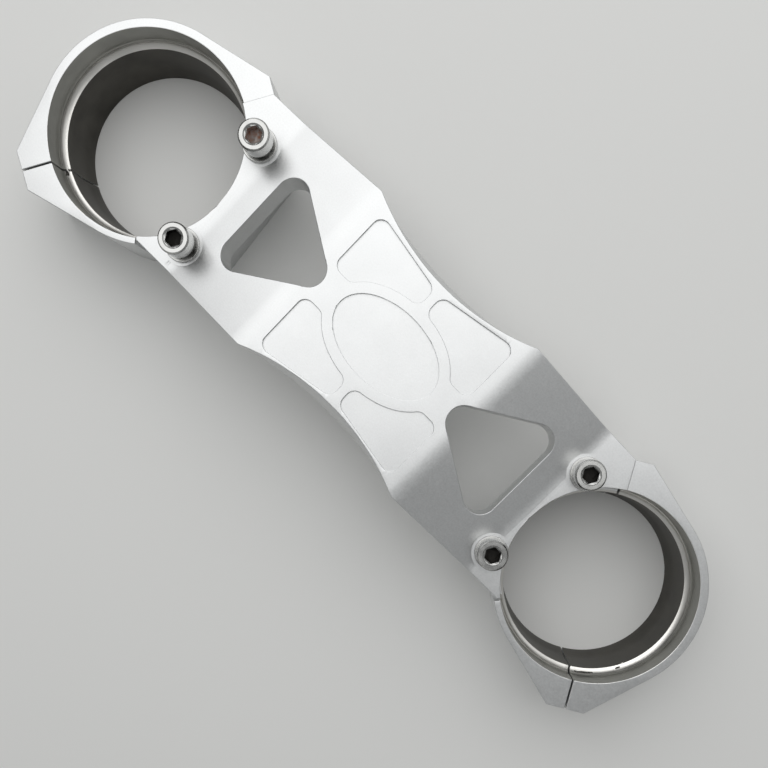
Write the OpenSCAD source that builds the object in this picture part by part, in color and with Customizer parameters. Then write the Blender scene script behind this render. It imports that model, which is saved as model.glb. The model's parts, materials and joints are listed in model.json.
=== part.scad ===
// Bolt-on brace for a motorbike's two fork legs, lying on its clamp rings.
// X runs from fork to fork, Y across the bridge, Z up. The origin lies midway
// between the forks, on the plane that the rings stand on.

/* [Forks] */
// Distance between the two fork centres
fork_spacing = 171.2; // [168:0.2:176]
// Diameter that the clamps grip
grip_d = 50.6; // [50:0.2:51]
// Diameter at the foot of the bore, where the wall draws in
foot_d = 48.6; // [48:0.2:50]
// Diameter of the seal relief above the grip, and of the bridge's ends
relief_d = 54; // [53.6:0.2:54.4]

/* [Clamp rings] */
// Height of the clamp rings
ring_h = 25; // [24:0.5:26]
// Outer diameter of the caps
cap_od = 58.8; // [58.4:0.2:59.4]
// Outer diameter of the bases
base_od = 57.6; // [57.2:0.2:58.2]
// Direction in which each cap opens, measured from the line of the forks
cap_angle = 30.7; // [28:0.1:33]
// Distance from the fork centre to the end of the ears
ear_reach = 35.5; // [35:0.1:36.5]
// Thickness of the ears at their ends, from the split
ear_t = 5.3; // [4.8:0.1:5.8]
// Gap between cap and base
split_gap = 0.4; // [0.2:0.1:0.6]
// Height at which the grip ends and the relief begins
lip_z = 16.4; // [16:0.1:16.6]
// Radius of the hollow in which the relief's wall runs into the lip
lip_r = 2.6; // [2:0.1:3]
// Height at which the foot of the bore has opened out to the grip
foot_z = 7; // [5:0.5:8]

/* [Bridge] */
// Height of the lap face on which the bridge's ends sit
lap_z = 16.8; // [16.7:0.1:17.5]
// Height of the top of the bridge's ends
end_z = 27.3; // [27:0.1:28]
// Height of the raised middle
crown_z = 34.5; // [33:0.5:36]
// Height of the underside of the raised middle
belly_z = 22.5; // [21.5:0.5:23.5]
// Half the length of the raised middle
crown_x = 28.5; // [28:0.1:29.5]
// Distance from the middle to the foot of the slope
slope_foot_x = 56.5; // [55.5:0.5:57.5]
// Radius of the bend between the raised middle and the slope
bend_r = 20; // [12:1:24]
// Radius of the fillet at the foot of the slope
foot_fillet_r = 14; // [8:1:18]
// Distance from the fork line to the middle line of the bridge
bridge_offset = 4.8; // [4.5:0.1:5.2]
// Width across the corners of the raised middle
crown_w = 53.4; // [53:0.1:54]
// Narrowing of the bridge's one edge from those corners out to a fork centre
edge_taper = 1.6; // [0:0.1:2]
// Depth of the waist at the top face
waist_top = 5.85; // [5:0.05:6.5]
// Depth of the waist at the underside
waist_bottom = 3.3; // [2.5:0.1:4]

/* [Windows and pockets] */
// Distance from the middle to the flat side of a window
window_base_x = 49.7; // [49:0.1:50.2]
// Distance from the middle to the point of a window
window_tip_x = 23.4; // [23:0.1:24.5]
// Width of a window at its flat side
window_w = 30; // [28:0.5:31]
// Radius of a window's corners
window_r = 4.7; // [4:0.1:5]
// Distance from the fork line to the middle line of the pockets
pocket_offset = 4.5; // [4.3:0.1:5]
// Depth of the pockets in the raised middle
pocket_depth = 0.6; // [0.3:0.1:1]
// Length of the oval pocket
oval_l = 33; // [31:0.5:35]
// Width of the oval pocket
oval_w = 20.2; // [18:0.2:22]
// Radius of the corners of the side pockets
pocket_r = 2.6; // [2:0.1:2.8]

/* [Screws] */
// Diameter of the bridge screws
screw_d = 5; // [4.8:0.1:5.2]
// Diameter of their heads
head_d = 8.2; // [8:0.1:8.5]
// Height of their heads
head_h = 5; // [4.6:0.1:5.2]
// Length of the bridge screws under the head
screw_l = 25; // [20:1:25]
// Distance from the fork centre to the bridge screws
screw_reach = 31; // [30.8:0.1:31.3]
// Angle between the two bridge screws of a clamp, about the fork centre
screw_spread = 64; // [60:0.5:66]
// How far the left front bridge screw is backed out
front_slack = 2.2; // [0:0.1:4]
// How far the left rear bridge screw is backed out
rear_slack = 2.6; // [0:0.1:4]
// Diameter of the washers under the bridge screws
washer_d = 9.2; // [8.6:0.1:9.4]
// Thickness of those washers
washer_t = 1.1; // [0.8:0.1:1.3]
// Diameter of the spot face that each washer sits on
spot_d = 11; // [9.5:0.5:11.5]
// Diameter of the pinch screws that close the caps
pinch_d = 4; // [3.8:0.1:4]
// Diameter of their heads
pinch_head_d = 7; // [6.8:0.1:7]
// Height of their heads
pinch_head_h = 4; // [3.6:0.1:4]
// Length of the pinch screws under the head
pinch_l = 10; // [9:0.5:10]
// Distance from the fork centre to the pinch screws
pinch_reach = 30.5; // [30.3:0.1:30.7]
// Height of the pinch screws
pinch_z = 8.4; // [8:0.1:9]

/* [Hidden] */
$fn = 96;

// Tools run this far past the faces they cut
cut = 1;
fork_x = fork_spacing / 2;
front = 1;
rear = -1;

// Bearings of the bridge screws about the fork centre, from the outward side
screw_bearing = 175;
front_screw_angle = screw_bearing - screw_spread / 2;
rear_screw_angle = screw_bearing + screw_spread / 2;
// Bearing at which the rear end of the base comes out from under the bridge
base_end_angle = 233.4;
// Bearing at which the bridge's rear corner ends
bridge_end_angle = 231.4;

// Fit of screws in their clearance holes and pockets, on the radius
screw_play = 0.25;
// Depth of the seat of the pinch heads, measured from the split
pinch_seat = 2.6;
// Depth of the blind tapped holes for the pinch screws, measured from the split
pinch_hole_depth = pinch_l - pinch_seat + 0.8;
boss_r = 5.6;
// Straight sides lie this far inside the rounds that they run out of
flat_bite = 0.02;

socket_depth = 2.6;
socket_af = 4;
pinch_socket_af = 3;
head_chamfer = 0.4;
// The conical mouth of a socket starts this far outside its corners
mouth_gap = 0.1;
mouth_depth = 0.35;

// The waist runs out this far short of the bends
waist_end = 0.5;

pocket_floor = crown_z - pocket_depth;
// Metal left between a side pocket and the waist, the crown's long edge, the oval
// pocket, its neighbour across the middle and the bend
waist_web = 1.8;
side_web = 3.7;
oval_web = 3;
middle_web = 2.6;
end_web = 4.4;
// Metal left between two neighbouring side pockets, where a window's point lies
point_web = 10.4;

satin = [0.80, 0.81, 0.82];
steel = [0.66, 0.66, 0.64];

// Point at a distance and a bearing from the origin
function polar(r, a) = [r * cos(a), r * sin(a)];

// Points of an arc about c
function arc(c, r, a0, a1, n) = [for (i = [0:n]) c + polar(r, a0 + (a1 - a0) * i / n)];

// Rounded convex outline: the points are the centres of its corners
module rounded(points, r) {
    n = len(points);
    edge = [for (i = [0:n - 1]) points[(i + 1) % n] - points[i]];
    out = [for (e = edge) (r - flat_bite) * [e[1], -e[0]] / norm(e)];
    polygon([for (i = [0:n - 1]) each [points[i] + out[(i + n - 1) % n], points[i] + out[i]]]);
    for (p = points) translate(p) circle(r);
}

// Plan of a clamp ring in its own frame, where the cap lies toward +X and the
// ears along Y
module ring_plan(od) {
    r = od / 2 - flat_bite;
    flat_angle = asin(r / norm([ear_reach, ear_t])) - atan(ear_t / ear_reach);
    foot = polar(r, flat_angle);
    circle(d = od);
    polygon([foot, [ear_t, ear_reach], [0, ear_reach],
             [0, -ear_reach], [ear_t, -ear_reach], [foot[0], -foot[1]]]);
}

// Bore of a clamp: foot, grip, hollow lip and seal relief
module clamp_bore() {
    turn = acos(1 - (relief_d - grip_d) / (2 * lip_r));
    lip = arc([relief_d / 2 - lip_r, lip_z + lip_r * sin(turn)], lip_r, -turn, 0, 6);
    rotate_extrude()
        polygon(concat([[0, -cut], [foot_d / 2, -cut], [foot_d / 2, 0], [grip_d / 2, foot_z]],
                       lip, [[relief_d / 2, ring_h + cut], [0, ring_h + cut]]));
}

// Places its children along a pinch screw's axis: Z runs from the split out
// through the cap
module on_pinch_axis(side) {
    translate([0, side * pinch_reach, pinch_z]) rotate([0, 90, 0]) children();
}

// Outward side of a clamp, with the cap toward +X before it is turned
module turned() {
    rotate([0, 0, cap_angle]) children();
}

// Cap of the right-hand clamp, about its fork centre
module cap() {
    turned() difference() {
        intersection() {
            linear_extrude(ring_h) ring_plan(cap_od);
            translate([split_gap / 2, -fork_x, -cut]) cube([fork_x, 2 * fork_x, ring_h + 2 * cut]);
        }
        clamp_bore();
        for (side = [front, rear]) on_pinch_axis(side) {
            cylinder(d = pinch_d + 2 * screw_play, h = cap_od);
            translate([0, 0, pinch_seat]) cylinder(d = pinch_head_d + 2 * screw_play, h = cap_od);
        }
    }
}

// Sector of the plan between two bearings
module sector(a0, a1) {
    mid = (a0 + a1) / 2;
    polygon([[0, 0], polar(2 * fork_x, a0), polar(3 * fork_x, mid), polar(2 * fork_x, a1)]);
}

// Pads under the bridge's end that take the bridge screws
module boss_plan() {
    hub = polar(screw_reach - boss_r, (front_screw_angle + rear_screw_angle) / 2);
    rounded([polar(screw_reach, front_screw_angle), polar(screw_reach, rear_screw_angle), hub], boss_r);
}

// Base of the right-hand clamp, about its fork centre
module base() {
    difference() {
        union() {
            turned() mirror([1, 0, 0]) intersection() {
                linear_extrude(ring_h) ring_plan(base_od);
                translate([split_gap / 2, -fork_x, -cut]) cube([fork_x, 2 * fork_x, ring_h + 2 * cut]);
            }
            linear_extrude(lap_z) boss_plan();
        }
        clamp_bore();
        translate([0, 0, lap_z]) linear_extrude(ring_h) sector(90 + cap_angle - 20, base_end_angle);
        for (a = [front_screw_angle, rear_screw_angle])
            translate(concat(polar(screw_reach, a), [-cut])) cylinder(d = screw_d, h = ring_h);
        turned() for (side = [front, rear]) on_pinch_axis(side)
            translate([0, 0, -pinch_hole_depth]) cylinder(d = pinch_d, h = pinch_hole_depth + cut);
    }
}

// Cap screw: head up along Z, seat at the origin, with a hexagon socket
module cap_screw(d, l, hd, hh, af, depth) {
    corners = af / cos(30);
    mouth = corners / 2 + mouth_gap;
    difference() {
        union() {
            translate([0, 0, -l]) cylinder(d = d, h = l + hh / 2);
            rotate_extrude()
                polygon([[0, 0], [hd / 2, 0], [hd / 2, hh - head_chamfer],
                         [hd / 2 - head_chamfer, hh], [0, hh]]);
        }
        translate([0, 0, hh - depth]) cylinder(d = corners, h = depth + cut, $fn = 6);
        translate([0, 0, hh - mouth_depth])
            cylinder(r1 = mouth, r2 = mouth + mouth_depth + cut, h = mouth_depth + cut);
    }
}

// Washer of the right-hand clamp, at a bearing about its fork centre
module washer(a) {
    translate(concat(polar(screw_reach, a), [end_z])) difference() {
        cylinder(d = washer_d, h = washer_t);
        translate([0, 0, -cut]) cylinder(d = screw_d + screw_play, h = washer_t + 2 * cut);
    }
}

// Bridge screw of the right-hand clamp, at a bearing about its fork centre,
// backed out by a slack
module bridge_screw(a, slack = 0) {
    translate(concat(polar(screw_reach, a), [end_z + washer_t + slack]))
        cap_screw(screw_d, screw_l, head_d, head_h, socket_af, socket_depth);
}

// Pinch screw of the right-hand clamp
module pinch_screw(side) {
    turned() on_pinch_axis(side) translate([0, 0, pinch_seat])
        cap_screw(pinch_d, pinch_l, pinch_head_d, pinch_head_h, pinch_socket_af, pinch_head_h / 2);
}

// Side view of the bridge: raised middle, slopes, and ends on the lap faces
module bridge_profile() {
    slope = atan2(crown_z - end_z, slope_foot_x - crown_x);
    function run(r) = r * tan(slope / 2);
    bend = arc([crown_x - run(bend_r), crown_z - bend_r], bend_r, 90, 90 - slope, 8);
    foot = arc([slope_foot_x + run(foot_fillet_r), end_z + foot_fillet_r], foot_fillet_r,
               -90 - slope, -90, 8);
    half = concat(bend, foot, [[fork_x, end_z], [fork_x, lap_z],
                  [slope_foot_x, lap_z], [crown_x, belly_z]]);
    n = len(half);
    polygon(concat(half, [for (i = [n - 1:-1:0]) [-half[i][0], half[i][1]]]));
}

// Plan of the bridge before its waist is cut
module bridge_plan() {
    top = bridge_offset + crown_w / 2;
    bottom = bridge_offset - crown_w / 2;
    difference() {
        polygon([[crown_x, top], [fork_x, top - edge_taper], [fork_x, bottom],
                 [-fork_x, bottom], [-fork_x, top - edge_taper], [-crown_x, top]]);
        for (m = [0, 1]) mirror([m, 0]) translate([fork_x, 0]) {
            circle(d = relief_d);
            rotate(cap_angle) translate([-split_gap / 2, -fork_x]) square(2 * fork_x);
            sector(bridge_end_angle, 330);
        }
    }
}

// Tool that cuts the waist on one side: an arc that is deeper at the top face
// than at the underside, and runs out near the corners
module waist_tool(side) {
    half_chord = crown_x - waist_end;
    function radius(sag) = (half_chord * half_chord + sag * sag) / (2 * sag);
    top_r = radius(waist_top);
    bottom_r = radius(waist_bottom);
    top_c = crown_w / 2 + top_r - waist_top;
    bottom_c = crown_w / 2 + bottom_r - waist_bottom;
    over = cut / (crown_z - belly_z);
    translate([0, bridge_offset, 0]) scale([1, side, 1]) hull() {
        translate([0, top_c + over * (top_c - bottom_c), crown_z + cut])
            cylinder(r = top_r + over * (top_r - bottom_r), h = 0.01, $fn = 240);
        translate([0, bottom_c + over * (bottom_c - top_c), belly_z - cut])
            cylinder(r = bottom_r + over * (bottom_r - top_r), h = 0.01, $fn = 240);
    }
}

// Three-sided window with its flat side toward the fork
module window_plan() {
    base_x = window_base_x - window_r;
    tip_x = window_tip_x + window_r;
    half_w = window_w / 2 - window_r;
    translate([0, bridge_offset])
        rounded([[tip_x, 0], [base_x, -half_w], [base_x, half_w]], window_r);
}

module oval(l, w) {
    scale([l / w, 1]) circle(d = w, $fn = 72);
}

// One side pocket: its inner side follows the oval, its outer side the waist, and
// it stops short of the window's point
module side_pocket_plan() {
    corner_x = crown_x - end_web;
    corner_y = crown_w / 2 - side_web;
    waist_y = crown_w / 2 - waist_top - waist_web;
    offset(r = pocket_r, $fn = 48) offset(delta = -pocket_r) difference() {
        polygon([[middle_web / 2, point_web / 2], [middle_web / 2, waist_y],
                 [corner_x, corner_y], [corner_x, point_web / 2]]);
        oval(oval_l + 2 * oval_web, oval_w + 2 * oval_web);
    }
}

// Raised bridge with its windows, pockets, screw holes and spot faces
module bridge_body() {
    difference() {
        intersection() {
            rotate([90, 0, 0]) linear_extrude(4 * crown_w, center = true) bridge_profile();
            linear_extrude(crown_z + cut) bridge_plan();
        }
        for (side = [-1, 1]) waist_tool(side);
        for (m = [0, 1]) mirror([m, 0, 0]) {
            linear_extrude(crown_z + cut) window_plan();
            translate([fork_x, 0, 0]) for (a = [front_screw_angle, rear_screw_angle])
                translate(concat(polar(screw_reach, a), [0])) {
                    cylinder(d = screw_d + 2 * screw_play, h = crown_z);
                    translate([0, 0, end_z]) cylinder(d = spot_d, h = crown_z);
                }
        }
        translate([0, pocket_offset, pocket_floor]) {
            linear_extrude(crown_z) oval(oval_l, oval_w);
            for (mx = [0, 1], my = [0, 1])
                mirror([mx, 0, 0]) mirror([0, my, 0]) linear_extrude(crown_z) side_pocket_plan();
        }
    }
}

// Right-hand and left-hand sets are mirror images
module right() {
    translate([fork_x, 0, 0]) children();
}

module left() {
    mirror([1, 0, 0]) right() children();
}

module bridge() { color(satin) bridge_body(); }
module left_clamp_base() { color(satin) left() base(); }
module left_clamp_cap() { color(satin) left() cap(); }
module right_clamp_base() { color(satin) right() base(); }
module right_clamp_cap() { color(satin) right() cap(); }
module left_front_washer() { color(steel) left() washer(front_screw_angle); }
module left_rear_washer() { color(steel) left() washer(rear_screw_angle); }
module right_front_washer() { color(steel) right() washer(front_screw_angle); }
module right_rear_washer() { color(steel) right() washer(rear_screw_angle); }
module left_front_bridge_screw() { color(steel) left() bridge_screw(front_screw_angle, front_slack); }
module left_rear_bridge_screw() { color(steel) left() bridge_screw(rear_screw_angle, rear_slack); }
module right_front_bridge_screw() { color(steel) right() bridge_screw(front_screw_angle); }
module right_rear_bridge_screw() { color(steel) right() bridge_screw(rear_screw_angle); }
module left_front_pinch_screw() { color(steel) left() pinch_screw(front); }
module left_rear_pinch_screw() { color(steel) left() pinch_screw(rear); }
module right_front_pinch_screw() { color(steel) right() pinch_screw(front); }
module right_rear_pinch_screw() { color(steel) right() pinch_screw(rear); }

bridge();
left_clamp_base();
left_clamp_cap();
right_clamp_base();
right_clamp_cap();
left_front_washer();
left_rear_washer();
right_front_washer();
right_rear_washer();
left_front_bridge_screw();
left_rear_bridge_screw();
right_front_bridge_screw();
right_rear_bridge_screw();
left_front_pinch_screw();
left_rear_pinch_screw();
right_front_pinch_screw();
right_rear_pinch_screw();
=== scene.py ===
"""Looks of a motorbike fork brace: machined and bead blasted aluminium, turned
bores, and stainless socket screws with their washers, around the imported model."""

import json
import math

import bmesh
import bpy
from bpy.props import FloatProperty, FloatVectorProperty, PointerProperty
from bpy.types import Operator, Panel, PropertyGroup
from mathutils import Matrix, Vector


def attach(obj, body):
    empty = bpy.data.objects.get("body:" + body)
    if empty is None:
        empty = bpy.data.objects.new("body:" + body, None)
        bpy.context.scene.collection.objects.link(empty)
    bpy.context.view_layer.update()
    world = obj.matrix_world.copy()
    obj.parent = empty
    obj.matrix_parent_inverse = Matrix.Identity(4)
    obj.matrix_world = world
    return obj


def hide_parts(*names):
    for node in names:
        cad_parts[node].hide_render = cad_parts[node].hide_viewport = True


bl_info = {
    "name": "Fork Brace Finish",
    "version": (1, 0, 0),
    "blender": (4, 5, 0),
    "location": "3D View > Sidebar > Fork Brace",
    "description": "Broken edges, blasted and turned surfaces, and screws of a fork brace",
    "category": "Object",
}

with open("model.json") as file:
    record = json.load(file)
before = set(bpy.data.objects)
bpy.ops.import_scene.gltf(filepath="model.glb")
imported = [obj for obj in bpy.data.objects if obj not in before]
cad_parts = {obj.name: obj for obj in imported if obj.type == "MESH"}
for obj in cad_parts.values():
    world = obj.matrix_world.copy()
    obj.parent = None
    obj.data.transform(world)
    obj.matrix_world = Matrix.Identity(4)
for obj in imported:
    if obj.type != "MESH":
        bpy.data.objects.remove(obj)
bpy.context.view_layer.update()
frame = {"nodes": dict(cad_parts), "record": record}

MM = 0.001
UP = Vector((0, 0, 1))

CLAMP_PARTS = ("left_clamp_base", "left_clamp_cap", "right_clamp_base", "right_clamp_cap")
BRIDGE_SCREWS = (
    "left_front_bridge_screw",
    "left_rear_bridge_screw",
    "right_front_bridge_screw",
    "right_rear_bridge_screw",
)
PINCH_SCREWS = (
    "left_front_pinch_screw",
    "left_rear_pinch_screw",
    "right_front_pinch_screw",
    "right_rear_pinch_screw",
)
WASHERS = ("left_front_washer", "left_rear_washer", "right_front_washer", "right_rear_washer")

# The clamp mounts give the fork axes and the bore that the surfaces are sorted by
CLAMPS = [mount for mount in frame["record"]["mounts"] if mount["kind"] == "clamp"]
FORK_AXES = {mount["name"].split("_")[0]: Vector(mount["pos_m"][:2]) for mount in CLAMPS}
GRIP_R = CLAMPS[0]["dims"]["r_mm"] * MM


def linear(colour):
    """Linear RGB of an sRGB hex value."""
    parts = [int(colour[i : i + 2], 16) / 255 for i in (1, 3, 5)]
    return tuple(c / 12.92 if c <= 0.04045 else ((c + 0.055) / 1.055) ** 2.4 for c in parts)


def rgba(colour):
    """A colour property or an sRGB hex value, with full alpha."""
    return (*(linear(colour) if isinstance(colour, str) else colour), 1.0)


# Properties


class BraceEdges(PropertyGroup):
    """Sizes that the machinist's file and the blasting leave on the edges"""

    edge_break: FloatProperty(
        name="Edge break",
        description="Width of the broken edges of the bridge and the clamps",
        default=0.22 * MM,
        min=0.05 * MM,
        max=1 * MM,
        unit="LENGTH",
    )
    washer_edge: FloatProperty(
        name="Washer edge",
        description="Width of the rounding that stamping leaves on a washer",
        default=0.18 * MM,
        min=0.02 * MM,
        max=0.4 * MM,
        unit="LENGTH",
    )
    screw_edge: FloatProperty(
        name="Screw edge",
        description="Width of the rounding on the edges of the screws",
        default=0.09 * MM,
        min=0.02 * MM,
        max=0.4 * MM,
        unit="LENGTH",
    )


class BraceFinish(PropertyGroup):
    """Colours of the brace's metals, with painted shade in the bores and sockets and a partly
    painted highlight on the lips
    """

    blasted: FloatVectorProperty(
        name="Blasted aluminium",
        description="Colour of the bead blasted and clear anodised faces",
        default=linear("#DCDDDD"),
        subtype="COLOR",
        size=3,
        min=0,
        max=1,
    )
    # The lip's colour is raised above the blasted faces', partly for bare turned metal and
    # partly as a painted highlight of the light the lip catches from above.
    lip: FloatVectorProperty(
        name="Turned lip",
        description="Colour of the freshly turned lip at the top of each grip",
        default=linear("#F0EEE9"),
        subtype="COLOR",
        size=3,
        min=0,
        max=1,
    )
    # Painted shade: the relief's colour is dimmed for the shade on this wall inside the bore.
    relief: FloatVectorProperty(
        name="Turned relief",
        description="Colour of the wall that clears the fork's seal",
        default=linear("#ABABA6"),
        subtype="COLOR",
        size=3,
        min=0,
        max=1,
    )
    # Painted shade: the grip's colour is darkened for the shade deep inside the bore.
    grip: FloatVectorProperty(
        name="Greased grip",
        description="Colour of the bore that grips the fork, dark with old grease",
        default=linear("#64625D"),
        subtype="COLOR",
        size=3,
        min=0,
        max=1,
    )
    # Painted shade: this colour darkens the screws' sockets for the shade deep in them; the
    # nicks use it for the muck in their torn metal.
    grime: FloatVectorProperty(
        name="Socket grime",
        description="Colour of the packed dirt in the screws' sockets",
        default=linear("#25231F"),
        subtype="COLOR",
        size=3,
        min=0,
        max=1,
    )
    rust: FloatVectorProperty(
        name="Rust",
        description="Colour of the rust specks in one socket",
        default=linear("#7C4A2C"),
        subtype="COLOR",
        size=3,
        min=0,
        max=1,
    )
    stainless: FloatVectorProperty(
        name="Stainless steel",
        description="Colour of the screws and washers",
        default=linear("#C6C6C4"),
        subtype="COLOR",
        size=3,
        min=0,
        max=1,
    )


class BraceStage(PropertyGroup):
    """Light and floor round the brace"""

    key_power: FloatProperty(
        name="Key light",
        description="Power of the large soft lamp over the left end",
        default=4.2,
        min=0,
        max=100,
        unit="POWER",
    )
    fill_power: FloatProperty(
        name="Fill light",
        description="Power of the weaker lamp on the right",
        default=0.22,
        min=0,
        max=100,
        unit="POWER",
    )
    sky: FloatVectorProperty(
        name="Room",
        description="Colour of the light from all round",
        default=linear("#939494"),
        subtype="COLOR",
        size=3,
        min=0,
        max=1,
    )
    floor: FloatVectorProperty(
        name="Floor",
        description="Colour of the floor",
        default=linear("#E4E4E2"),
        subtype="COLOR",
        size=3,
        min=0,
        max=1,
    )


# Materials

# The part of a noise's range that most of its values lie in
NOISE_LOW, NOISE_HIGH = 0.3, 0.7
# How far apart a wave's bands are at a scale of 1
WAVE_BAND = math.tau / 20
# A finishing cut leaves marks 0.25 mm apart; they are drawn coarser so that they show
TOOL_MARKS = 1.57 * MM


def new_material(name):
    """An empty node material and its output node."""
    material = bpy.data.materials.new(name)
    material.use_nodes = True
    material.node_tree.nodes.clear()
    return material, node(material, "ShaderNodeOutputMaterial")


def node(material, kind, settings=None, inputs=None):
    """Adds a node with its settings; an input is a value, or another node's socket to link."""
    made = material.node_tree.nodes.new(kind)
    for name, value in (settings or {}).items():
        setattr(made, name, value)
    for name, value in (inputs or {}).items():
        if isinstance(value, bpy.types.NodeSocket):
            material.node_tree.links.new(value, made.inputs[name])
        else:
            made.inputs[name].default_value = value
    return made


def grain(material, spacing, detail=2.0):
    """Noise over the object whose grains are about one spacing apart."""
    place = node(material, "ShaderNodeTexCoord")
    return node(
        material,
        "ShaderNodeTexNoise",
        {"noise_dimensions": "3D"},
        {"Vector": place.outputs["Object"], "Scale": 1 / spacing, "Detail": detail},
    )


def spread(material, source, low, high):
    """Maps the middle of a noise onto a range."""
    inputs = {"Value": source, "From Min": NOISE_LOW, "From Max": NOISE_HIGH}
    inputs |= {"To Min": low, "To Max": high}
    mapped = node(material, "ShaderNodeMapRange", {"clamp": True}, inputs)
    return mapped.outputs["Result"]


def shade(material, noise, dark, light):
    """Mixes two colours by a noise."""
    mix = node(
        material,
        "ShaderNodeMix",
        {"data_type": "RGBA"},
        {"Factor": spread(material, noise, 0.0, 1.0)},
    )
    mix.inputs["A"].default_value = rgba(dark)
    mix.inputs["B"].default_value = rgba(light)
    return mix.outputs["Result"]


def dimmed(material, colour, share):
    """A colour socket times a grey socket."""
    mix = node(
        material,
        "ShaderNodeVectorMath",
        {"operation": "SCALE"},
        {"Vector": colour, "Scale": share},
    )
    return mix.outputs["Vector"]


def darker(colour, share):
    """A colour dimmed to a share of its light."""
    return tuple(c * share for c in colour)


def blasted_aluminium(finish):
    """6061 aluminium, machined, bead blasted and clear anodised: a pale satin
    whose fine dimples scatter the light, with faint clouds from handling."""
    material, output = new_material("blasted_aluminium")
    clouds = grain(material, 14 * MM)
    # The beads' dimples are about 0.1 mm; they are drawn coarser so that they show
    dimples = grain(material, 0.45 * MM, detail=3.0)
    colour = tuple(finish.blasted)
    cloudy = shade(material, clouds.outputs["Fac"], darker(colour, 0.95), colour)
    frost = spread(material, dimples.outputs["Fac"], 0.92, 1.02)
    bump = node(
        material,
        "ShaderNodeBump",
        inputs={"Height": dimples.outputs["Fac"], "Strength": 0.35, "Distance": 0.03 * MM},
    )
    metal = node(
        material,
        "ShaderNodeBsdfPrincipled",
        inputs={
            "Base Color": dimmed(material, cloudy, frost),
            "Metallic": 1.0,
            "Roughness": spread(material, dimples.outputs["Fac"], 0.34, 0.44),
            "Normal": bump.outputs["Normal"],
        },
    )
    material.node_tree.links.new(metal.outputs["BSDF"], output.inputs["Surface"])
    return material


def turned_aluminium(name, colour, dullest, roughness):
    """The same aluminium where a boring bar has cut it: fine rings run round the
    fork's axis, with duller clouds."""
    material, output = new_material(name)
    clouds = grain(material, 7 * MM)
    place = node(material, "ShaderNodeTexCoord")
    marks = node(
        material,
        "ShaderNodeTexWave",
        {"wave_type": "BANDS", "bands_direction": "Z"},
        {
            "Vector": place.outputs["Object"],
            "Scale": WAVE_BAND / TOOL_MARKS,
            "Distortion": 0.6,
            "Detail": 1.0,
        },
    )
    bump = node(
        material,
        "ShaderNodeBump",
        inputs={"Height": marks.outputs["Fac"], "Strength": 0.2, "Distance": 0.01 * MM},
    )
    dull = darker(colour, dullest)
    metal = node(
        material,
        "ShaderNodeBsdfPrincipled",
        inputs={
            "Base Color": shade(material, clouds.outputs["Fac"], dull, colour),
            "Metallic": 1.0,
            "Roughness": spread(material, clouds.outputs["Fac"], roughness, roughness + 0.1),
            "Normal": bump.outputs["Normal"],
        },
    )
    material.node_tree.links.new(metal.outputs["BSDF"], output.inputs["Surface"])
    return material


def highlighted_turned_lip(finish):
    """The hollow turned lip, its colour raised partly as a painted highlight of the light it
    catches from above.
    """
    return turned_aluminium("highlighted_turned_lip", tuple(finish.lip), 0.92, 0.3)


def shaded_turned_relief(finish):
    """The wall over the lip, as the boring bar left it, its colour dimmed as painted shade."""
    return turned_aluminium("shaded_turned_relief", tuple(finish.relief), 0.78, 0.28)


def shaded_turned_grip(finish):
    """The gripping bore, its colour darkened as painted shade deep inside the bore."""
    return turned_aluminium("shaded_turned_grip", tuple(finish.grip), 0.6, 0.4)


def bruised_metal(finish):
    """Aluminium bared by a blow, torn and filled with road muck: dark and dull."""
    material, output = new_material("bruised_metal")
    tears = grain(material, 0.3 * MM, detail=3.0)
    metal = node(
        material,
        "ShaderNodeBsdfPrincipled",
        inputs={
            "Base Color": shade(
                material, tears.outputs["Fac"], tuple(finish.grime), tuple(finish.grip)
            ),
            "Metallic": 0.6,
            "Roughness": 0.6,
        },
    )
    material.node_tree.links.new(metal.outputs["BSDF"], output.inputs["Surface"])
    return material


def shaded_socket_wall(finish):
    """Stainless steel on the walls of a socket, darkened as painted shade."""
    material, output = new_material("shaded_socket_wall")
    shade_film = grain(material, 0.9 * MM, detail=3.0)
    colour = tuple(finish.stainless)
    metal = node(
        material,
        "ShaderNodeBsdfPrincipled",
        inputs={
            "Base Color": shade(
                material, shade_film.outputs["Fac"], tuple(finish.grime), darker(colour, 0.35)
            ),
            "Metallic": 1.0,
            "Roughness": 0.4,
        },
    )
    material.node_tree.links.new(metal.outputs["BSDF"], output.inputs["Surface"])
    return material


def shaded_socket_floor(finish):
    """Painted shade on a socket's floor: matt and nearly black."""
    material, output = new_material("shaded_socket_floor")
    mottle = grain(material, 0.5 * MM, detail=4.0)
    colour = tuple(finish.grime)
    darkness = node(
        material,
        "ShaderNodeBsdfPrincipled",
        inputs={
            "Base Color": shade(material, mottle.outputs["Fac"], darker(colour, 0.4), colour),
            "Roughness": 0.7,
            "Specular IOR Level": 0.25,
        },
    )
    material.node_tree.links.new(darkness.outputs["BSDF"], output.inputs["Surface"])
    return material


def rusted_steel(finish):
    """Socket walls where red-brown rust blooms through the bright steel."""
    material, output = new_material("rusted_steel")
    bloom = grain(material, 1.1 * MM, detail=4.0)
    metal = node(
        material,
        "ShaderNodeBsdfPrincipled",
        inputs={
            "Base Color": shade(
                material, bloom.outputs["Fac"], tuple(finish.rust), tuple(finish.stainless)
            ),
            "Metallic": spread(material, bloom.outputs["Fac"], 0.1, 1.0),
            "Roughness": spread(material, bloom.outputs["Fac"], 0.8, 0.3),
        },
    )
    material.node_tree.links.new(metal.outputs["BSDF"], output.inputs["Surface"])
    return material


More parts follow.
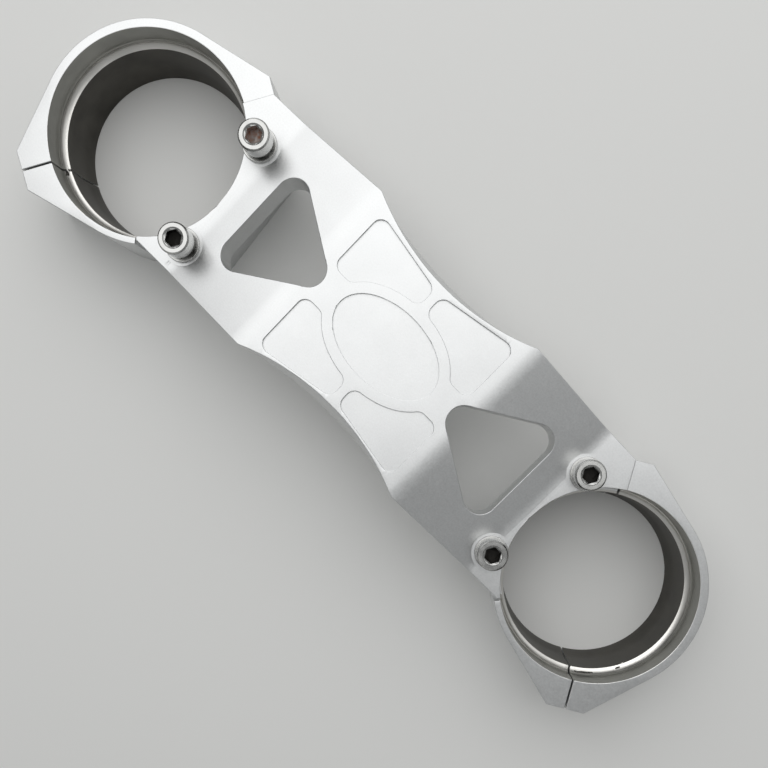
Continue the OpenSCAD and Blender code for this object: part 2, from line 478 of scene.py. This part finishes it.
def rusted_shaded_floor(finish):
    """The same socket's floor: brown rust grains on steel dimmed as painted shade."""
    material, output = new_material("rusted_shaded_floor")
    mottle = grain(material, 1.0 * MM, detail=4.0)
    shade_film = darker(tuple(finish.stainless), 0.6)
    rust = node(
        material,
        "ShaderNodeBsdfPrincipled",
        inputs={
            "Base Color": shade(material, mottle.outputs["Fac"], tuple(finish.rust), shade_film),
            "Metallic": spread(material, mottle.outputs["Fac"], 0.0, 0.6),
            "Roughness": 0.6,
        },
    )
    material.node_tree.links.new(rust.outputs["BSDF"], output.inputs["Surface"])
    return material


def stainless_steel(finish):
    """A2 stainless steel, cold headed and tumbled: bright and fairly smooth, with
    fine scratches and slightly duller patches."""
    material, output = new_material("stainless_steel")
    patches = grain(material, 2.5 * MM)
    scratches = grain(material, 0.4 * MM, detail=3.0)
    colour = tuple(finish.stainless)
    bump = node(
        material,
        "ShaderNodeBump",
        inputs={"Height": scratches.outputs["Fac"], "Strength": 0.05, "Distance": 0.01 * MM},
    )
    metal = node(
        material,
        "ShaderNodeBsdfPrincipled",
        inputs={
            "Base Color": shade(material, patches.outputs["Fac"], darker(colour, 0.82), colour),
            "Metallic": 1.0,
            "Roughness": spread(material, patches.outputs["Fac"], 0.2, 0.32),
            "Normal": bump.outputs["Normal"],
        },
    )
    material.node_tree.links.new(metal.outputs["BSDF"], output.inputs["Surface"])
    return material


def plain_floor(colour):
    """A matt pale board."""
    material, output = new_material("plain_floor")
    board = node(
        material,
        "ShaderNodeBsdfPrincipled",
        inputs={"Base Color": rgba(colour), "Roughness": 0.9, "Specular IOR Level": 0.1},
    )
    material.node_tree.links.new(board.outputs["BSDF"], output.inputs["Surface"])
    return material


def shared_material(make):
    """The material that a maker gives, made once."""
    return bpy.data.materials.get(make.__name__) or make(bpy.context.scene.brace_finish)


# Modelling

# Corners of the CAD's loose triangles within this distance are one corner. The bridge's
# rounds end in edges shorter than its own distance, which a bevel would fold over
CAD_WELD = 0.001 * MM
BRIDGE_WELD = 0.05 * MM
# Edges that turn by more than this are broken, and take at most this share of
# the width of the faces beside them
SHARP_ANGLE = math.radians(25)
BEVEL_SHARE = 0.25
# Only a screw's square edges are broken, not the cone in its socket's mouth
SCREW_SHARP_ANGLE = math.radians(60)
# Edges that turn by less than this are shaded as one round
ROUND_ANGLE = math.radians(35)
# Faces within this angle are one flat region, and a region over this area keeps
# its own shading up to its edge
FLAT_ANGLE = math.radians(0.3)
FLAT_AREA = 60 * MM * MM
SMALL_FLAT_AREA = 15 * MM * MM
# Two triangles that meet at more than this lie on top of each other, and turning
# the edge between them this many times over the whole piece parts nearly all
FOLD_ANGLE = math.radians(170)
UNFOLD_TURNS = 4

# The nicks in the lips: the piece, then the bearing in degrees and the reach from the
# fork's axis, the height, and the pit's half length, half width and half depth
NICKS = (
    ("right_clamp_cap", -50, 26.4 * MM, 17.15 * MM, (2.1 * MM, 0.28 * MM, 0.3 * MM)),
    ("right_clamp_cap", -29.3, 26.0 * MM, 16.8 * MM, (0.5 * MM, 0.22 * MM, 0.22 * MM)),
    ("left_clamp_base", -118.8, 26.4 * MM, 17.1 * MM, (0.8 * MM, 0.42 * MM, 0.4 * MM)),
)
# Faces this near a pit's middle, in its own sizes, are its walls
NICK_REACH = 1.02

# Walls that face a fork's axis by this much, and lie this near its grip, are turned
BORE_FACING = 0.3
BORE_MARGIN = 2 * MM
# A bore's lip leans back by more than this, and its relief is wider than its grip
LIP_TILT = 0.3
RELIEF_STEP = 1.2 * MM
RELIEF_SLOT, LIP_SLOT, GRIP_SLOT = 1, 2, 3

# Where a screw's socket lies: below its mouth, in the top share of the screw and
# near its axis, which the corners in the head's top slice give
MOUTH_DEPTH = 0.5 * MM
SOCKET_SHARE = 0.16
SOCKET_REACH = 2.45 * MM
HEAD_SLICE = 1 * MM
FLOOR_FACING = 0.7
WALL_SLOT, SHADED_FLOOR_SLOT = 1, 2


def only(piece):
    """Leaves one object selected and active."""
    bpy.ops.object.select_all(action="DESELECT")
    bpy.context.view_layer.objects.active = piece
    piece.select_set(True)


def clean_copy(name, source, weld=CAD_WELD):
    """A copy of a CAD node as one welded skin."""
    piece = bpy.data.objects.new(name, frame["nodes"][source].data.copy())
    bpy.context.scene.collection.objects.link(piece)
    piece.data.materials.clear()
    only(piece)
    bpy.ops.object.mode_set(mode="EDIT")
    bpy.ops.mesh.select_all(action="SELECT")
    bpy.ops.mesh.remove_doubles(threshold=weld)
    bpy.ops.object.mode_set(mode="OBJECT")
    return piece


def flat_regions(skin):
    """The area of the flat region that each face belongs to."""
    area = {}
    for start in skin.faces:
        if start in area:
            continue
        region, reached = [start], {start}
        for face in region:
            for edge in face.edges:
                if edge.calc_face_angle(math.pi) < FLAT_ANGLE:
                    beside = [other for other in edge.link_faces if other not in reached]
                    region.extend(beside)
                    reached.update(beside)
        total = sum(face.calc_area() for face in region)
        area.update((face, total) for face in region)
    return area


def weigh_edges(piece, width, sharp, flat):
    """Marks the outer edges that are this sharp for the bevel, each with the share of
    the width that its narrower face has room for, and parts flat faces from rounds."""
    skin = bmesh.new()
    skin.from_mesh(piece.data)
    weight = skin.edges.layers.float.new("bevel_weight_edge")
    area = flat_regions(skin)
    for edge in skin.edges:
        angle = edge.calc_face_angle_signed(0)
        beside = [area[face] for face in edge.link_faces]
        if angle > sharp:
            edge[weight] = min(1.0, BEVEL_SHARE * min(beside) / (edge.calc_length() * width))
        elif abs(angle) > FLAT_ANGLE and max(beside) > flat:
            edge.smooth = False
    skin.to_mesh(piece.data)
    skin.free()


def unfold(piece):
    """Turns the diagonals of the thin triangles that the bevel has folded over."""
    skin = bmesh.new()
    skin.from_mesh(piece.data)
    for _ in range(UNFOLD_TURNS):
        for edge in list(skin.edges):
            if edge.calc_face_angle(0) < FOLD_ANGLE:
                continue
            if any(len(face.verts) > 3 for face in edge.link_faces):
                continue
            thin = min(edge.link_faces, key=lambda face: face.calc_area())
            if edge.calc_length() < max(side.calc_length() for side in thin.edges):
                continue
            for made in bmesh.ops.rotate_edges(skin, edges=[edge])["edges"]:
                for face in made.link_faces:
                    face.normal_update()
    skin.to_mesh(piece.data)
    skin.free()


def break_edges(piece, width, sharp=SHARP_ANGLE, flat=FLAT_AREA):
    """Rounds the sharp outer edges and shades the piece so that flat faces stay flat."""
    weigh_edges(piece, width, sharp, flat)
    only(piece)
    bpy.ops.object.modifier_add(type="BEVEL")
    bevel = piece.modifiers[-1]
    bevel.width = width
    bevel.segments = 3
    bevel.limit_method = "WEIGHT"
    bevel.use_clamp_overlap = False
    bevel.miter_outer = "MITER_ARC"
    bpy.ops.object.modifier_apply(modifier=bevel.name)
    unfold(piece)
    bpy.ops.object.shade_smooth_by_angle(angle=ROUND_ANGLE)
    bpy.ops.object.modifier_add(type="WEIGHTED_NORMAL")
    weighted = piece.modifiers[-1]
    weighted.keep_sharp = True
    # By area alone, faces this small keep their tilted normals
    weighted.mode = "FACE_AREA_WITH_ANGLE"
    bpy.ops.object.modifier_apply(modifier=weighted.name)


def stands_for(piece, source):
    """The finished piece takes the CAD node's place."""
    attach(piece, "root")
    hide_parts(source)


def pit_place(axis, bearing, reach, height, size):
    """The place, turn and size of a pit whose length runs round the bore."""
    angle = math.radians(bearing)
    middle = axis + reach * Vector((math.cos(angle), math.sin(angle)))
    turn = Matrix.Rotation(angle + math.pi / 2, 4, "Z")
    return Matrix.Translation((*middle, height)) @ turn @ Matrix.Diagonal((*size, 1))


def cut_nick(piece, place):
    """Gouges a lip where a tool slipped, with a flattened ball."""
    bpy.ops.object.select_all(action="DESELECT")
    bpy.ops.mesh.primitive_uv_sphere_add(segments=20, ring_count=12)
    pit = bpy.context.object
    pit.matrix_world = place
    bpy.ops.object.transform_apply(location=True, rotation=True, scale=True)
    only(piece)
    bpy.ops.object.modifier_add(type="BOOLEAN")
    gouge = piece.modifiers[-1]
    gouge.operation = "DIFFERENCE"
    gouge.solver = "EXACT"
    gouge.object = pit
    bpy.ops.object.modifier_apply(modifier=gouge.name)
    bpy.data.objects.remove(pit)


def paint_nick(piece, place):
    """Darkens the bared metal of a nick."""
    slot = len(piece.data.materials)
    piece.data.materials.append(shared_material(bruised_metal))
    own = place.inverted()
    for face in piece.data.polygons:
        if (own @ face.center).length < NICK_REACH:
            face.material_index = slot


def paint_bores(piece):
    """Gives the turned walls round the fork axes their own finishes: painted shade on the
    relief and the grip, and a partly painted highlight on the lip.
    """
    for make in (blasted_aluminium, shaded_turned_relief, highlighted_turned_lip, shaded_turned_grip):
        piece.data.materials.append(shared_material(make))
    for face in piece.data.polygons:
        for axis in FORK_AXES.values():
            out = face.center.xy - axis
            facing = -face.normal.xy.dot(out.normalized())
            if out.length > GRIP_R + BORE_MARGIN or facing < BORE_FACING:
                continue
            if face.normal.z > LIP_TILT:
                face.material_index = LIP_SLOT
            elif out.length > GRIP_R + RELIEF_STEP:
                face.material_index = RELIEF_SLOT
            else:
                face.material_index = GRIP_SLOT


def screw_axis(source):
    """The way a screw's head points: up, or out along the way its cap opens."""
    if source in BRIDGE_SCREWS:
        return UP
    side = source.split("_")[0]
    cap = frame["nodes"][side + "_clamp_cap"]
    corners = [cap.matrix_world @ corner.co for corner in cap.data.vertices]
    middle = sum(corners, Vector()) / len(corners)
    return (middle.xy - FORK_AXES[side]).normalized().to_3d()


def paint_socket(piece, source, wall, darkness):
    """Paints the walls and the floor of a screw's socket with the given finishes: painted
    shade, and in one socket rust.
    """
    for make in (stainless_steel, wall, darkness):
        piece.data.materials.append(shared_material(make))
    axis = screw_axis(source)
    corners = [corner.co for corner in piece.data.vertices]
    heights = [corner.dot(axis) for corner in corners]
    top = max(heights)
    socket_depth = SOCKET_SHARE * (top - min(heights))
    head = [place for place, height in zip(corners, heights) if top - height < HEAD_SLICE]
    middle = sum(head, Vector()) / len(head)
    for face in piece.data.polygons:
        off = face.center - middle
        reach = (off - axis * off.dot(axis)).length
        depth = top - face.center.dot(axis)
        if MOUTH_DEPTH < depth < socket_depth and reach < SOCKET_REACH:
            floor = face.normal.dot(axis) > FLOOR_FACING
            face.material_index = SHADED_FLOOR_SLOT if floor else WALL_SLOT


# Operators


class BridgeOperator(Operator):
    """Finish the bridge: broken edges, blasted faces and turned ends"""

    bl_idname = "fork_brace.bridge"
    bl_label = "Bridge"

    def execute(self, context):
        piece = clean_copy("blasted_bridge", "bridge", BRIDGE_WELD)
        break_edges(piece, context.scene.brace_edges.edge_break)
        paint_bores(piece)
        stands_for(piece, "bridge")
        return {"FINISHED"}


class ClampsOperator(Operator):
    """Finish the bases and caps of both clamps"""

    bl_idname = "fork_brace.clamps"
    bl_label = "Clamp rings"

    def execute(self, context):
        for source in CLAMP_PARTS:
            piece = clean_copy("blasted_" + source, source)
            axis = FORK_AXES[source.split("_")[0]]
            pits = [pit_place(axis, *pit) for owner, *pit in NICKS if owner == source]
            for place in pits:
                cut_nick(piece, place)
            break_edges(piece, context.scene.brace_edges.edge_break)
            paint_bores(piece)
            for place in pits:
                paint_nick(piece, place)
            stands_for(piece, source)
        return {"FINISHED"}


class WashersOperator(Operator):
    """Finish the washers under the bridge screws"""

    bl_idname = "fork_brace.washers"
    bl_label = "Washers"

    def execute(self, context):
        for source in WASHERS:
            piece = clean_copy("stamped_" + source, source)
            break_edges(piece, context.scene.brace_edges.washer_edge, flat=SMALL_FLAT_AREA)
            piece.data.materials.append(shared_material(stainless_steel))
            stands_for(piece, source)
        return {"FINISHED"}


class ScrewsOperator(Operator):
    """Finish the bridge screws and the pinch screws"""

    bl_idname = "fork_brace.screws"
    bl_label = "Screws"

    def execute(self, context):
        for source in BRIDGE_SCREWS + PINCH_SCREWS:
            piece = clean_copy("turned_" + source, source)
            width = context.scene.brace_edges.screw_edge
            break_edges(piece, width, SCREW_SHARP_ANGLE, SMALL_FLAT_AREA)
            # One socket is rusted; the others are darkened as painted shade.
            if source == "left_front_bridge_screw":
                paint_socket(piece, source, rusted_steel, rusted_shaded_floor)
            else:
                paint_socket(piece, source, shaded_socket_wall, shaded_socket_floor)
            stands_for(piece, source)
        return {"FINISHED"}


# Places and widths in metres
FLOOR_WIDTH = 6
KEY_PLACE, KEY_WIDTH = (-0.27, 0.22, 0.62), 1.0
FILL_PLACE, FILL_WIDTH = (0.2, 0.5, 0.4), 0.4
# The camera stands 247 mm over the floor a little to the right of the middle, is
# turned so that the brace runs down to the right, and its frame is moved up
CAMERA_PLACE = (23.2 * MM, -1.9 * MM, 247.2 * MM)
CAMERA_TURN = (math.radians(-5.255), math.radians(2.684), math.radians(44.787))
CAMERA_LENS = 38.41
CAMERA_SENSOR = 36
CAMERA_SHIFT = (-0.0123, 0.1568)
CAMERA_NEAR = 10 * MM


class StageOperator(Operator):
    """Set the floor, the lamps and the camera"""

    bl_idname = "fork_brace.stage"
    bl_label = "Stage"

    def execute(self, context):
        stage = context.scene.brace_stage
        add_floor(stage)
        add_lamp("key_lamp", KEY_PLACE, KEY_WIDTH, stage.key_power)
        add_lamp("fill_lamp", FILL_PLACE, FILL_WIDTH, stage.fill_power)
        light_room(stage)
        add_camera()
        context.scene.view_settings.view_transform = "Standard"
        return {"FINISHED"}


def add_floor(stage):
    """A plain board that reaches out of every view."""
    bpy.ops.mesh.primitive_plane_add(size=FLOOR_WIDTH)
    floor = bpy.context.object
    floor.name = "floor"
    floor.data.materials.append(plain_floor(stage.floor))


def add_lamp(name, place, size, power):
    """A square soft lamp aimed at the middle of the brace."""
    bpy.ops.object.light_add(type="AREA", location=place)
    lamp = bpy.context.object
    lamp.name = name
    lamp.data.size = size
    lamp.data.energy = power
    lamp.rotation_euler = (-Vector(place)).to_track_quat("-Z", "Y").to_euler()


def light_room(stage):
    """Even light from all round."""
    world = bpy.context.scene.world or bpy.data.worlds.new("room")
    bpy.context.scene.world = world
    world.use_nodes = True
    background = world.node_tree.nodes["Background"]
    background.inputs["Color"].default_value = rgba(stage.sky)
    background.inputs["Strength"].default_value = 1.0


def add_camera():
    """The camera at the photograph's viewing angle."""
    bpy.ops.object.camera_add(location=CAMERA_PLACE, rotation=CAMERA_TURN)
    camera = bpy.context.object
    camera.data.lens = CAMERA_LENS
    camera.data.sensor_width = CAMERA_SENSOR
    camera.data.shift_x, camera.data.shift_y = CAMERA_SHIFT
    camera.data.clip_start = CAMERA_NEAR
    bpy.context.scene.camera = camera


class BracePanel(Panel):
    """Lists the steps that finish the fork brace"""

    bl_idname = "VIEW3D_PT_fork_brace"
    bl_label = "Fork Brace"
    bl_space_type = "VIEW_3D"
    bl_region_type = "UI"
    bl_category = "Fork Brace"

    def draw(self, context):
        scene = context.scene
        for group in (scene.brace_edges, scene.brace_finish, scene.brace_stage):
            for name in group.__annotations__:
                self.layout.prop(group, name)
        for operator in OPERATORS:
            self.layout.operator(operator.bl_idname)


GROUPS = (BraceEdges, BraceFinish, BraceStage)
OPERATORS = (BridgeOperator, ClampsOperator, WashersOperator, ScrewsOperator, StageOperator)


def register():
    for cls in (*GROUPS, *OPERATORS, BracePanel):
        bpy.utils.register_class(cls)
    bpy.types.Scene.brace_edges = PointerProperty(type=BraceEdges)
    bpy.types.Scene.brace_finish = PointerProperty(type=BraceFinish)
    bpy.types.Scene.brace_stage = PointerProperty(type=BraceStage)


def unregister():
    del bpy.types.Scene.brace_stage
    del bpy.types.Scene.brace_finish
    del bpy.types.Scene.brace_edges
    for cls in (BracePanel, *reversed(OPERATORS), *reversed(GROUPS)):
        bpy.utils.unregister_class(cls)


def main():
    register()
    bpy.ops.fork_brace.bridge()
    bpy.ops.fork_brace.clamps()
    bpy.ops.fork_brace.washers()
    bpy.ops.fork_brace.screws()
    bpy.ops.fork_brace.stage()


if __name__ == "__main__":
    main()
